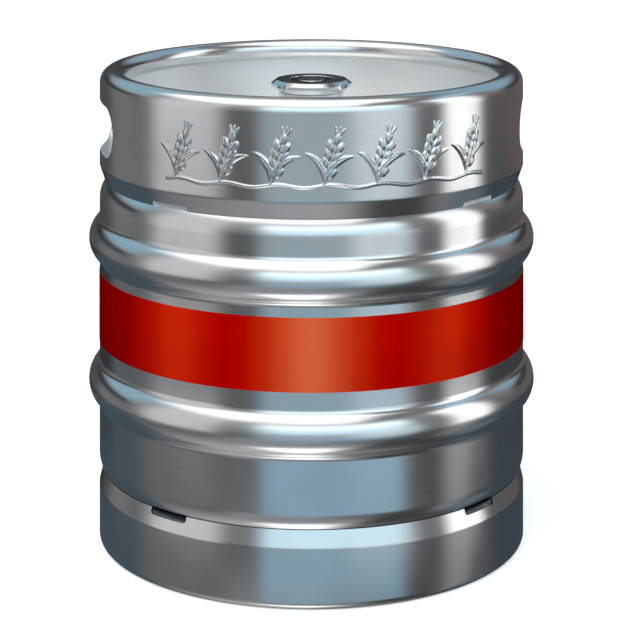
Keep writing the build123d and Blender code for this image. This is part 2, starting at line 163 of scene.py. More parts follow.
GAS_SPRING = (18.8, 2.2, 6.0)  # middle radius of the coil, wire, turns
GAS_SPRING_ENDS = (337.0, 379.5)
BEER_SPRING = (12.2, 1.2, 5.0)
BEER_SPRING_ENDS = (365.0, 380.5)
COIL_STEPS = 40  # grid steps in one turn
WIRE_STEPS = 14  # grid steps round the wire
CLOSED_GAP = 0.1  # between the wires of a closed end coil
CLOSED_TURNS = 0.75  # at each end
OPENING_TURNS = 0.5  # over which the coil opens

FINE_COLUMNS = np.arange(0, 360, 0.75)


# ---------------------------------------------------------------- outlines
def rounded(corners, rounds, step=6.0):
    """Line through the corners, with an arc of the given radius at each inner corner."""
    corners = np.array(corners, float)
    line = [corners[0]]
    for before, corner, after, radius in zip(corners, corners[1:], corners[2:], rounds):
        into = (corner - before) / np.linalg.norm(corner - before)
        out = (after - corner) / np.linalg.norm(after - corner)
        turn = math.atan2(into[0] * out[1] - into[1] * out[0], into @ out)
        start = corner - into * radius * math.tan(abs(turn) / 2)
        side = math.copysign(1, turn)
        centre = start + radius * side * np.array([-into[1], into[0]])
        count = max(2, math.ceil(abs(math.degrees(turn)) / step))
        for angle in np.linspace(0, turn, count + 1):
            spoke = start - centre
            cos, sin = math.cos(angle), math.sin(angle)
            turned = np.array([cos * spoke[0] - sin * spoke[1], sin * spoke[0] + cos * spoke[1]])
            line.append(centre + turned)
    line.append(corners[-1])
    return np.array(line)


def beside(corners, distance):
    """Corners of the line that runs at a distance to the left of another."""
    corners = np.array(corners, float)
    along = np.diff(corners, axis=0)
    along /= np.linalg.norm(along, axis=1)[:, None]
    normals = np.stack([-along[:, 1], along[:, 0]], 1)
    shifted = [corners[0] + normals[0] * distance]
    for corner, a, b in zip(corners[1:], normals, normals[1:]):
        shifted.append(corner + (a + b) * distance / (1 + a @ b))
    shifted.append(corners[-1] + normals[-1] * distance)
    return np.array(shifted)


def arc(centre, radius, start, end, step=3.0):
    """Points of an arc, with its angles in degrees."""
    angles = np.radians(np.linspace(start, end, max(2, math.ceil(abs(end - start) / step) + 1)))
    return np.stack([centre[0] + radius * np.cos(angles), centre[1] + radius * np.sin(angles)], 1)


def where_line_meets_arc(start, end, centre, radius):
    """First point where the line from start to end leaves the circle."""
    start, end, centre = (np.array(p, float) for p in (start, end, centre))
    along = (end - start) / np.linalg.norm(end - start)
    middle = (centre - start) @ along
    height = np.linalg.norm(start + along * middle - centre)
    return start + along * (middle + math.sqrt(radius**2 - height**2))


def spaced(start, end, count):
    return np.linspace(np.array(start, float), np.array(end, float), count)


# ---------------------------------------------------------------- meshes
def grid_faces(columns, rows, wrap_columns=True, wrap_rows=True):
    """Quads of a grid whose vertex in column i and row j is number i * rows + j."""
    i = np.arange(columns if wrap_columns else columns - 1)[:, None]
    j = np.arange(rows if wrap_rows else rows - 1)[None, :]
    right, up = (i + 1) % columns, (j + 1) % rows
    corners = (i * rows + j, right * rows + j, right * rows + up, i * rows + up)
    return np.stack(corners, -1)


def on_circle(line, angles):
    """A line of radius and height, or one line per column, turned to each angle."""
    line = np.array(line, float)
    if line.ndim == 2:
        line = np.broadcast_to(line, (len(angles), *line.shape))
    turn = np.radians(np.array(angles, float))[:, None]
    return np.stack([line[..., 0] * np.cos(turn), line[..., 0] * np.sin(turn), line[..., 1]], -1)


def make_piece(name, parts, material, body, sharp=32.0):
    """One mesh from lists of points in millimetres and their faces."""
    points, faces, start = [], [], 0
    for part_points, part_faces in parts:
        flat = part_points.reshape(-1, 3)
        points.append(flat)
        faces.append(part_faces.reshape(-1, 4) + start)
        start += len(flat)
    mesh = bpy.data.meshes.new(name)
    mesh.from_pydata((np.concatenate(points) * MM).tolist(), [], np.concatenate(faces).tolist())
    work = bmesh.new()
    work.from_mesh(mesh)
    bmesh.ops.remove_doubles(work, verts=work.verts, dist=2e-7)
    bmesh.ops.recalc_face_normals(work, faces=work.faces)
    work.to_mesh(mesh)
    work.free()
    mesh.polygons.foreach_set("use_smooth", [True] * len(mesh.polygons))
    mesh.set_sharp_from_angle(angle=math.radians(sharp))
    mesh.materials.append(material)
    piece = bpy.data.objects.new(name, mesh)
    bpy.context.scene.collection.objects.link(piece)
    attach(piece, body)
    return piece


def turned_piece(name, loop, material, body, angles=FINE_COLUMNS):
    """Closed outline of radius and height turned all the way round."""
    points = on_circle(loop, angles)
    return make_piece(name, [(points, grid_faces(len(angles), len(loop)))], material, body)


# ---------------------------------------------------------------- node helpers
def add(tree, kind, inputs=None, **settings):
    """A node with its settings; an input is a value or another node's output."""
    node = tree.nodes.new(kind)
    for key, value in settings.items():
        setattr(node, key, value)
    for key, value in (inputs or {}).items():
        if isinstance(value, bpy.types.NodeSocket):
            tree.links.new(value, node.inputs[key])
        else:
            node.inputs[key].default_value = value
    return node


def calc(tree, operation, *values):
    return add(tree, "ShaderNodeMath", dict(enumerate(values)), operation=operation).outputs[0]


def ramp(tree, value, low, high, to_low=0.0, to_high=1.0):
    """Smooth step of a value from one range to another."""
    inputs = {"Value": value, "From Min": low, "From Max": high, "To Min": to_low, "To Max": to_high}
    return add(tree, "ShaderNodeMapRange", inputs, interpolation_type="SMOOTHSTEP").outputs[0]


def mix_colour(tree, factor, first, second, blend="MIX"):
    node = add(tree, "ShaderNodeMix", data_type="RGBA", blend_type=blend)
    for place, value in ((0, factor), (6, first), (7, second)):
        if isinstance(value, bpy.types.NodeSocket):
            tree.links.new(value, node.inputs[place])
        else:
            node.inputs[place].default_value = value if place == 0 else (*value, 1.0)
    return node.outputs[2]


def fill_stops(colour_ramp, stops):
    for place, (position, colour) in enumerate(stops):
        if place < 2:
            stop = colour_ramp.elements[place]
            stop.position = position
        else:
            stop = colour_ramp.elements.new(position)
        stop.color = (*colour, 1.0)


def noise(tree, vector, scale, detail=2.0, roughness=0.5):
    inputs = {"Vector": vector, "Scale": scale, "Detail": detail, "Roughness": roughness}
    return add(tree, "ShaderNodeTexNoise", inputs).outputs["Fac"]


# ---------------------------------------------------------------- materials
# Millimetres, each pair the two ends of a soft edge.
PICKLED_DEPTH = (0.8, 1.2)  # under the chime's outer face
PICKLED_Z = (296.0, 300.0)  # where the dome's pickled finish begins
CREVICE_Z = (46.0, 50.0)  # low end of the painted shade behind the foot chime's skirt
CREVICE_R = (158.0, 164.0)
CREVICE_TOP = (1.6, 0.4)  # below the skirt's edge


def new_material(name):
    material = bpy.data.materials.new(name)
    material.use_nodes = True
    tree = material.node_tree
    return material, tree, tree.nodes["Principled BSDF"]


def place_of(tree):
    """Object coordinates as a vector, with the height and the distance from the axis."""
    coordinates = add(tree, "ShaderNodeTexCoord").outputs["Object"]
    x, y, z = add(tree, "ShaderNodeSeparateXYZ", {0: coordinates}).outputs
    squares = [calc(tree, "MULTIPLY", value, value) for value in (x, y)]
    radius = calc(tree, "SQRT", calc(tree, "ADD", *squares))
    return coordinates, (x, y, z), radius


def turning_marks(tree, xyz, radius, pitch_mm, run_mm):
    """Noise drawn out along circles about the axis: fine across them, long along them."""
    across = 1 / (pitch_mm * MM)
    along = 1 / (run_mm * MM)
    stretched = add(
        tree,
        "ShaderNodeCombineXYZ",
        {
            0: calc(tree, "MULTIPLY", xyz[0], along),
            1: calc(tree, "MULTIPLY", xyz[1], along),
            2: calc(tree, "MULTIPLY", xyz[2], across),
        },
    ).outputs[0]
    inputs = {
        "Vector": stretched,
        "W": calc(tree, "MULTIPLY", radius, across),
        "Scale": 1.0,
        "Detail": 3.0,
        "Roughness": 0.6,
    }
    return add(tree, "ShaderNodeTexNoise", inputs, noise_dimensions="4D").outputs["Fac"]


def soft_edge(tree, value, ends):
    """0 before a pair of lengths in millimetres and 1 past them."""
    return ramp(tree, value, ends[0] * MM, ends[1] * MM)


def pickled_share(tree, xyz, radius):
    """1 on the dome and on the chime's inner faces, which are pickled and not brushed."""
    slope = (BODY_R - TOP_SKIRT_EDGE[0]) / (TOP_SKIRT_Z - TOP_SKIRT_EDGE[1])
    below = calc(tree, "MAXIMUM", calc(tree, "SUBTRACT", TOP_SKIRT_Z * MM, xyz[2]), 0.0)
    wall = calc(tree, "MULTIPLY_ADD", below, -slope, BODY_R * MM)
    depth = calc(tree, "SUBTRACT", wall, radius)
    within = soft_edge(tree, depth, PICKLED_DEPTH)
    roll_low = HEIGHT - RIM_DEPTH
    under_roll = ramp(tree, xyz[2], (roll_low - 1) * MM, roll_low * MM, 1.0, 0.0)
    above = soft_edge(tree, xyz[2], PICKLED_Z)
    return calc(tree, "MULTIPLY", within, calc(tree, "MULTIPLY", under_roll, above))


def crevice_grime(tree, height, radius):
    """1 in the crevice between the bottom dome and the foot chime's skirt, where shade is painted into the
    steel.
    """
    low = soft_edge(tree, height, CREVICE_Z)
    start, end = (FOOT_SKIRT_EDGE[1] - below for below in CREVICE_TOP)
    high = ramp(tree, height, start * MM, end * MM, 1.0, 0.0)
    outside = soft_edge(tree, radius, CREVICE_R)
    return calc(tree, "MULTIPLY", outside, calc(tree, "MULTIPLY", low, high))


def steel(
    name, colour, roughness, pitch_mm=0.5, run_mm=25.0, bump=0.05, brushed=0.35, stain=0.0, grime=0.0
):
    """Stainless steel with brushing or turning marks round the axis, smudges and fine scratches."""
    material, tree, bsdf = new_material(name)
    coordinates, xyz, radius = place_of(tree)
    marks = turning_marks(tree, xyz, radius, pitch_mm, run_mm)
    smudge = noise(tree, coordinates, 22.0, 3.0, 0.55)
    sand = noise(tree, coordinates, 1100.0, 2.0, 0.7)
    scuff = ramp(tree, turning_marks(tree, xyz, radius, pitch_mm * 1.7, run_mm * 0.25), 0.63, 0.72)
    crest = ramp(tree, radius, (RING_R - 2.2) * MM, (RING_R - 0.2) * MM)
    pickled = pickled_share(tree, xyz, radius)
    rough = calc(tree, "MULTIPLY_ADD", marks, 0.10, roughness - 0.06)
    rough = calc(tree, "MULTIPLY_ADD", ramp(tree, smudge, 0.35, 0.7), 0.035, rough)
    rough = calc(tree, "MULTIPLY_ADD", calc(tree, "MAXIMUM", scuff, crest), 0.05, rough)
    rough = calc(tree, "MULTIPLY_ADD", pickled, 0.22, rough)
    shade = calc(tree, "MULTIPLY_ADD", marks, 0.10, 0.92)
    shade = calc(tree, "MULTIPLY_ADD", sand, 0.06, shade)
    shade = calc(tree, "MULTIPLY_ADD", scuff, -0.05, shade)
    grit = calc(tree, "MULTIPLY", pickled, calc(tree, "SUBTRACT", sand, 0.25))
    shade = calc(tree, "MULTIPLY_ADD", grit, 0.9, shade)
    tone = mix_colour(tree, ramp(tree, smudge, 0.3, 0.75), colour, [c * 0.95 for c in colour])
    if stain > 0:
        heat = ramp(tree, noise(tree, coordinates, 260.0, 3.0), 0.35, 0.7, 0.0, stain)
        tone = mix_colour(tree, heat, tone, (0.33, 0.25, 0.17))
    # Painted shade: the steel in the crevice behind the foot chime's skirt is darkened.
    if grime > 0:
        clean = calc(tree, "MULTIPLY_ADD", crevice_grime(tree, xyz[2], radius), -grime, 1.0)
        shade = calc(tree, "MULTIPLY", shade, clean)
    grey = add(tree, "ShaderNodeCombineColor", {0: shade, 1: shade, 2: shade}).outputs[0]
    tree.links.new(mix_colour(tree, 1.0, tone, grey, "MULTIPLY"), bsdf.inputs["Base Color"])
    tree.links.new(rough, bsdf.inputs["Roughness"])
    bsdf.inputs["Metallic"].default_value = 1.0
    grain_share = calc(tree, "MULTIPLY_ADD", pickled, -brushed, brushed)
    tree.links.new(grain_share, bsdf.inputs["Anisotropic"])
    bsdf.inputs["Anisotropic Rotation"].default_value = 0.25
    tangent = add(tree, "ShaderNodeTangent", direction_type="RADIAL", axis="Z").outputs[0]
    tree.links.new(tangent, bsdf.inputs["Tangent"])
    relief = calc(tree, "MULTIPLY_ADD", scuff, -0.4, marks)
    relief = calc(tree, "MULTIPLY_ADD", grit, 4.0, relief)
    bumps = add(tree, "ShaderNodeBump", {"Strength": bump, "Distance": 0.0003, "Height": relief})
    tree.links.new(bumps.outputs[0], bsdf.inputs["Normal"])
    return material


def side_slant(tree):
    """0 where an upright wall faces the eye, 1 where it is seen edge on."""
    geometry = add(tree, "ShaderNodeNewGeometry").outputs
    flat = (1.0, 1.0, 0.0)
    eye, face = (
        add(tree, "ShaderNodeVectorMath", {0: geometry[name], 1: flat}, operation="MULTIPLY").outputs[0]
        for name in ("Incoming", "True Normal")
    )
    eye, face = (
        add(tree, "ShaderNodeVectorMath", {0: vector}, operation="NORMALIZE").outputs[0]
        for vector in (eye, face)
    )
    dot = add(tree, "ShaderNodeVectorMath", {0: eye, 1: face}, operation="DOT_PRODUCT").outputs["Value"]
    return calc(tree, "SUBTRACT", 1.0, dot)


# Colours of the band's lacquer against the slant at which it is seen, 0 face on and 1 edge on: painted
# light over the red, with a painted highlight face on, bright stripes of painted reflection near 0.2 and
# painted shade towards the edges.
BAND_COLOURS = [
    (0.0, (0.73, 0.122, 0.045)),
    (0.006, (0.64, 0.070, 0.020)),
    (0.022, (0.55, 0.024, 0.004)),
    (0.05, (0.47, 0.003, 0.0)),
    (0.09, (0.43, 0.0, 0.0)),
    (0.14, (0.48, 0.005, 0.001)),
    (0.20, (0.58, 0.018, 0.003)),
    (0.26, (0.58, 0.018, 0.003)),
    (0.34, (0.44, 0.006, 0.001)),
    (0.50, (0.27, 0.0, 0.0)),
    (1.0, (0.16, 0.0, 0.0)),
]


def band_paint():
    """Candy red lacquer over steel, whose colour changes with the slant to paint in highlights, reflections
    and shade.
    """
    material, tree, bsdf = new_material("band_paint")
    coordinates, xyz, radius = place_of(tree)
    marks = turning_marks(tree, xyz, radius, 0.7, 30.0)
    cloud = noise(tree, coordinates, 14.0, 3.0)
    # Painted highlight, reflection and shade: the lacquer's colour is picked by the slant at which it is
    # seen.
    flop = add(tree, "ShaderNodeValToRGB", {0: side_slant(tree)})
    fill_stops(flop.color_ramp, BAND_COLOURS)
    tone = mix_colour(tree, ramp(tree, cloud, 0.3, 0.8, 0.0, 0.08), flop.outputs[0], (0.40, 0.0, 0.0))
    rough = calc(tree, "MULTIPLY_ADD", marks, 0.06, 0.22)
    bsdf.inputs["Metallic"].default_value = 0.25
    bsdf.inputs["Specular IOR Level"].default_value = 0.0
    bsdf.inputs["Specular Tint"].default_value = (1.0, 0.0, 0.0, 1.0)
    tree.links.new(tone, bsdf.inputs["Base Color"])
    tree.links.new(rough, bsdf.inputs["Roughness"])
    bumps = add(tree, "ShaderNodeBump", {"Strength": 0.04, "Distance": 0.0002, "Height": marks})
    tree.links.new(bumps.outputs[0], bsdf.inputs["Normal"])
    return material


def rubber():
    """Matt black moulded rubber with a dusty bloom."""
    material, tree, bsdf = new_material("seal_rubber")
    coordinates = place_of(tree)[0]
    grain = noise(tree, coordinates, 2600.0, 3.0, 0.7)
    bloom = ramp(tree, noise(tree, coordinates, 160.0, 4.0), 0.45, 0.75)
    tone = mix_colour(tree, bloom, (0.006, 0.006, 0.007), (0.018, 0.018, 0.019))
    tree.links.new(tone, bsdf.inputs["Base Color"])
    tree.links.new(calc(tree, "MULTIPLY_ADD", grain, 0.2, 0.55), bsdf.inputs["Roughness"])
    bsdf.inputs["Specular IOR Level"].default_value = 0.25
    bumps = add(tree, "ShaderNodeBump", {"Strength": 0.15, "Distance": 0.0002, "Height": grain})
    tree.links.new(bumps.outputs[0], bsdf.inputs["Normal"])
    return material


MATERIALS = {
    # The shell's steel carries painted shade in the crevice behind the foot chime's skirt.
    "shell_steel": steel("shell_steel", (0.88, 0.89, 0.90), 0.17, grime=0.93),
    "chime_steel": steel("chime_steel", (0.88, 0.885, 0.89), 0.18),
    "weld_steel": steel("weld_steel", (0.62, 0.60, 0.58), 0.34, brushed=0.0, bump=0.15, stain=0.5),
    "valve_steel": steel("valve_steel", (0.86, 0.87, 0.88), 0.13, pitch_mm=0.25, run_mm=12.0, bump=0.04),
    "tube_steel": steel("tube_steel", (0.80, 0.81, 0.83), 0.22, pitch_mm=0.4, bump=0.05),
    "spring_steel": steel("spring_steel", (0.66, 0.66, 0.67), 0.24, pitch_mm=0.3, brushed=0.0),
    "seal_rubber": rubber(),
    "band_paint": band_paint(),
}


def keep_cad_nodes():
    """Gives every CAD node the finish of its material slot."""
    for subpart in frame["record"]["subparts"]:
        node = frame["nodes"][subpart["node"]]
        for slot in node.material_slots:
            slot.material = MATERIALS[subpart["material_slot"]]


# ---------------------------------------------------------------- shells and band
def ring_line(ring_z):
    """Outside of a rolling ring with its hollow blends, from below to above."""
    rise = RING_R - BODY_R
    arc_r = (RING_HALF**2 + rise**2) / (2 * rise)
    centre_r = RING_R - arc_r
    blend_r = BODY_R + RING_BLEND_R
    blend_z = math.sqrt((arc_r + RING_BLEND_R) ** 2 - (blend_r - centre_r) ** 2)
    slope = math.degrees(math.atan2(blend_z, blend_r - centre_r))
    low = arc((blend_r, ring_z - blend_z), RING_BLEND_R, 180, 180 - slope)
    crest = arc((centre_r, ring_z), arc_r, -slope, slope, 2.0)
    high = arc((blend_r, ring_z + blend_z), RING_BLEND_R, 180 + slope, 180)
    return np.concatenate([low, crest[1:-1], high])


def dome_line(knuckle, crown_r, end_r, up):
    """Outside of a dome from the cylinder in to a radius."""
    centre_r, centre_z, knuckle_r = knuckle
    drop = math.sqrt((crown_r - knuckle_r) ** 2 - centre_r**2)
    join = math.degrees(math.atan2(drop, centre_r))
    end = math.degrees(math.acos(end_r / crown_r))
    bend = arc((centre_r, centre_z), knuckle_r, 0, up * join)
    crown = arc((0, centre_z - up * drop), crown_r, up * join, up * end, 1.0)
    return np.concatenate([bend, crown[1:]])


def sheet_loop(line, thickness):
    """Closed outline of a sheet from its smooth outside line, thickened to the left."""
    along = np.gradient(line, axis=0)
    along /= np.linalg.norm(along, axis=1)[:, None]
    inside = line + thickness * np.stack([-along[:, 1], along[:, 0]], 1)
    return np.concatenate([line, inside[::-1]])


def build_shells():
    wall_low = spaced((BODY_R, GIRTH_HIGH_Z), ring_line(UPPER_RING_Z)[0], 4)[:-1]
    top = dome_line(TOP_KNUCKLE, TOP_CROWN_R, NECK_R + SEAM_GAP, 1)
    upper = np.concatenate([wall_low, ring_line(UPPER_RING_Z), top])
    loop = sheet_loop(upper, SHELL_T)
    piece = turned_piece("upper_shell_skin", loop, MATERIALS["shell_steel"], "keg")
    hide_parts("upper_shell")
    wall_high = spaced(ring_line(LOWER_RING_Z)[-1], (BODY_R, GIRTH_LOW_Z), 4)[1:]
    bottom = dome_line(FOOT_KNUCKLE, FOOT_CROWN_R, 0, -1)[::-1]
    lower = np.concatenate([bottom, ring_line(LOWER_RING_Z), wall_high])
    loop = sheet_loop(lower, SHELL_T)
    loop[:, 0] = np.maximum(loop[:, 0], 0)
    piece = turned_piece("lower_shell_skin", loop, MATERIALS["shell_steel"], "keg")
    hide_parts("lower_shell")


def build_band():
    inner = BODY_R + SEAM_GAP
    outer = inner + BAND_T
    corners = [
        (inner, BAND_LOW_Z),
        (outer, BAND_LOW_Z),
        (outer, BAND_HIGH_Z),
        (inner, BAND_HIGH_Z),
        (inner, BAND_LOW_Z),
    ]
    loop = rounded(corners, [0.2, 0.2, 0.01], 30)[:-1]
    piece = turned_piece("painted_band", loop, MATERIALS["band_paint"], "keg")
    piece.visible_glossy = False  # no red streaks in the rings, as in a retouched product picture
    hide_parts("colour_band")


# ---------------------------------------------------------------- relief on the top chime
def along_and_across(s, z, base, angle):
    """Coordinates along and across a direction from a base point."""
    cos, sin = math.cos(math.radians(angle)), math.sin(math.radians(angle))
    return (s - base[0]) * cos + (z - base[1]) * sin, (z - base[1]) * cos - (s - base[0]) * sin


def moved(base, angle, along, across=0.0):
    """The point that lies along and across a direction from a base point."""
    cos, sin = math.cos(math.radians(angle)), math.sin(math.radians(angle))
    return base[0] + along * cos - across * sin, base[1] + along * sin + across * cos


def pad(distance, edge):
    """Height of a flat-topped pressing: 1 inside, falling to 0 across the edge."""
    t = np.clip(-distance / edge + 0.5, 0, 1)
    return t * t * (3 - 2 * t)


def grain_height(s, z, centre, angle, half_l, half_w):
    """A plump grain with a crease down its middle."""
    u, v = along_and_across(s, z, centre, angle)
    dome = np.clip(1 - (u / half_l) ** 2 - (v / half_w) ** 2, 0, 1) ** 0.55
    crease = np.exp(-((v / 0.45) ** 2)) * np.clip(1 - (u / half_l) ** 2, 0, 1)
    return dome * (1 - 0.22 * crease)


def ear_height(s, z, base):
    """An ear of barley: a stem, two rows of grains with one at the tip, and three awns."""
    u, v = along_and_across(s, z, base, EAR_LEAN)
    height = 0.8 * pad(np.maximum(np.abs(v) - 0.9, np.abs(u - 4) - 5), 1.0)
    for k in range(4):
        for side in (-1, 1):
            centre = moved(base, EAR_LEAN, GRAIN_FIRST + GRAIN_PITCH * k, side * GRAIN_OUT)
            grain = grain_height(s, z, centre, EAR_LEAN + side * GRAIN_LEAN, *GRAIN_HALF)
            height = np.maximum(height, grain)
    tip = moved(base, EAR_LEAN, 37.0)
    height = np.maximum(height, grain_height(s, z, tip, EAR_LEAN, *TIP_GRAIN_HALF))
    for fan in (-AWN_FAN, 0, AWN_FAN):
        a, b = along_and_across(s, z, moved(base, EAR_LEAN, 38.0), EAR_LEAN + fan)
        awn = np.maximum(np.abs(b) - 0.45 * np.clip(1.6 - a / 9, 0.3, 1), np.abs(a - 5.5) - 3.6)
        height = np.maximum(height, 0.6 * pad(awn, 0.9))
    return height


def leaf_height(s, z, base, tip, outer, inner):
    """A pointed leaf between two arcs that bulge to the left of the line from base to tip."""
    run = math.hypot(tip[0] - base[0], tip[1] - base[1])
    angle = math.degrees(math.atan2(tip[1] - base[1], tip[0] - base[0]))
    u, v = along_and_across(s, z, base, angle)
    edges = []
    for rise in (outer, (outer + inner) / 2, inner):
        bow = (run**2 / 4 + rise**2) / (2 * rise)
        edges.append(np.hypot(u - run / 2, v - rise + bow) - bow)
    outside = np.maximum(edges[0], -edges[2])
    blade = np.clip(-outside / 1.6, 0, 1) ** 0.6
    rib = np.exp(-((edges[1] / 0.5) ** 2))
    return 0.9 * blade * (1 - 0.35 * rib)


def relief_height(angles, heights):
    """Pressed garland of barley ears and leaves round the front of the chime, 0 to 1."""
    s, z = np.meshgrid(np.radians(angles - FRONT) * BODY_R, heights, indexing="ij")
    reach = (EAR_COUNT // 2) * EAR_PITCH
    stalk_z = EAR_FOOT_Z - 1.0 + 1.2 * np.cos(2 * math.pi * s / EAR_PITCH)
    stalk = np.maximum(np.abs(z - stalk_z) - 0.9, np.abs(s) - reach - 15)
    total = 0.8 * pad(stalk, 1.1)
    lean, length, *bows = RISING_LEAF
    back_lean, back_length, *back_bows = DROOPING_LEAF
    for place in np.linspace(-reach, reach, EAR_COUNT):
        base = (place - 5.5, EAR_FOOT_Z)
        pieces = [
            ear_height(s, z, base),
            leaf_height(s, z, base, moved(base, lean, length), *bows),
            leaf_height(s, z, moved(base, back_lean, back_length), base, *back_bows),
        ]
        for piece in pieces:
            total = np.maximum(total, piece)
    return total


# ---------------------------------------------------------------- chimes
def notch_depth(angles, straight):
    """How far the skirt's edge is cut back at each angle, from 0 outside the notches to straight."""
    depth = np.zeros(len(angles))
    for middle in NOTCH_ANGLES:
        off = (angles - middle + 180) % 360 - 180
        across = np.abs(np.sin(np.radians(off)) * BODY_R)
        inside = (np.abs(off) < 90) & (across <= NOTCH_HALF_L)
        corner = np.clip(across - (NOTCH_HALF_L - NOTCH_END_R), 0, NOTCH_END_R)
        cut = straight - NOTCH_END_R + np.sqrt(np.maximum(NOTCH_END_R**2 - corner**2, 0))
        depth = np.where(inside, cut, depth)
    return depth


def chime_angles(relief):
    """Columns of a chime: even, closer at the notches' ends and under the relief."""
    notch_end = math.degrees(math.asin(NOTCH_HALF_L / BODY_R))
    inward = np.array([-0.002, 0.0, 0.02, 0.08, 0.18, 0.32, 0.5, 0.72, 0.95])
    groups = [np.arange(0, 360, 1.0)]
    for middle in NOTCH_ANGLES:
        groups.append(middle + notch_end - inward)
        groups.append(middle - notch_end + inward)
    if relief:
        groups.append(np.arange(FRONT - RELIEF_SECTOR, FRONT + RELIEF_SECTOR, RELIEF_STEP))
    return np.unique(np.round(np.concatenate(groups), 5))


def skirt_columns(line, cut, angles):
    """One copy of the line per column, with its straight first stretch shortened by the cut."""
    columns = np.repeat(line[None], len(angles), 0)
    start, end = line[0], line[SKIRT_ROWS - 1]
    slope = abs(end[1] - start[1]) / np.linalg.norm(end - start)
    along = (end - start) / np.linalg.norm(end - start)
    first = start + along * (cut / slope)[:, None]
    share = np.linspace(0, 1, SKIRT_ROWS)[None, :, None]
    columns[:, :SKIRT_ROWS] = first[:, None] * (1 - share) + end * share
    return columns


def chime_lines(corners, rounds, left, dome, wall_rows=None):
    """Outside and inside lines of a rolled chime, with the skirt's edge coped to the dome."""
    lines = []
    for offset in (0, CHIME_T):
        face = np.array(corners, float) if offset == 0 else beside(corners, left * offset)
        radii = [radius - offset for radius in rounds]
        face[0] = where_line_meets_arc(face[0], face[1], dome[:2], dome[2] + SKIRT_GAP)
        line = rounded(face, radii)
        skirt = spaced(line[0], line[1], SKIRT_ROWS)
        wall_r = face[1][0]
        wall = []
        if wall_rows is not None:
            wall = [(wall_r, z) for z in wall_rows]
        bend_end = 1 + int(np.argmax(np.abs(line[1:, 0] - wall_r) < 1e-6))
        parts = [skirt, line[2:bend_end + 1], np.array(wall).reshape(-1, 2), line[bend_end + 1:]]
        lines.append(np.concatenate(parts))
    return lines


def slot_direction(y, z):
    """Middle-line point of the hand hole nearest to a point, and the direction from it."""
    core = np.clip(y, -(HOLE_HALF_L - HOLE_HALF_H), HOLE_HALF_L - HOLE_HALF_H)
    away = np.stack([y - core, z - HOLE_Z], -1)
    return np.stack([core, np.full_like(core, HOLE_Z)], -1), away / np.linalg.norm(away, axis=-1)[:, None]


def lip_path():
    """Offset from the hole's outline and depth under the wall, from outside to inside."""
    edge = 0.7
    quarter = np.radians(np.linspace(0, 90, 9))
    path = [(HOLE_ROUND * (1 - math.sin(t)), HOLE_ROUND * (1 - math.cos(t))) for t in quarter]
    deep = HOLE_LIP_DEPTH
    path += [(0, d) for d in np.linspace(HOLE_ROUND, deep - edge, 4)[1:]]
    path += [(edge * (1 - math.cos(t)), deep - edge + edge * math.sin(t)) for t in quarter[2::2]]
    path += [(CHIME_T - edge + edge * math.sin(t), deep - edge + edge * math.cos(t)) for t in quarter[::2]]
    blend = HOLE_ROUND - 1
    path += [(CHIME_T, d) for d in np.linspace(deep - edge, CHIME_T + blend, 4)[1:]]
    path += [
        (CHIME_T + blend * (1 - math.cos(t)), CHIME_T + blend * (1 - math.sin(t))) for t in quarter[1:]
    ]
    return path


def hand_hole_patch(side, rows):
    """Wall round one hand hole and its rolled-in lip, both faces, joined to the wall's grid."""
    sector = np.arange(-HOLE_SECTOR, HOLE_SECTOR + 0.5, 1.0)
    low, high = rows[0], rows[-1]
    edge = [(a, low) for a in sector[:-1]]
    edge += [(HOLE_SECTOR, z) for z in rows[:-1]]
    edge += [(a, high) for a in sector[:0:-1]]
    edge += [(-HOLE_SECTOR, z) for z in rows[:0:-1]]
    edge = np.array(edge)
    levels = []
    path = lip_path()
    shares = np.array([0, 0.2, 0.4, 0.6, 0.8, 0.93])
    for depth, ends in ((0.0, path[0]), (CHIME_T, path[-1])):
        y = (BODY_R - depth) * np.sin(np.radians(edge[:, 0]))
        start = np.stack([y, edge[:, 1]], -1)
        core, away = slot_direction(y, edge[:, 1])
        end = core + away * (HOLE_HALF_H + ends[0])
        rings = [(start + (end - start) * share, depth) for share in shares]
        levels.append(rings)
    y = BODY_R * np.sin(np.radians(edge[:, 0]))
    core, away = slot_direction(y, edge[:, 1])
    lip = [(core + away * (HOLE_HALF_H + offset), depth) for offset, depth in path]
    stack = levels[0] + lip + levels[1][::-1]
    points = []
    for flat, depth in stack:
        x = np.sqrt((BODY_R - depth) ** 2 - flat[:, 0] ** 2)
        points.append(np.stack([side * x, side * flat[:, 0], flat[:, 1]], -1))
    return np.array(points), grid_faces(len(stack), len(edge), False, True)


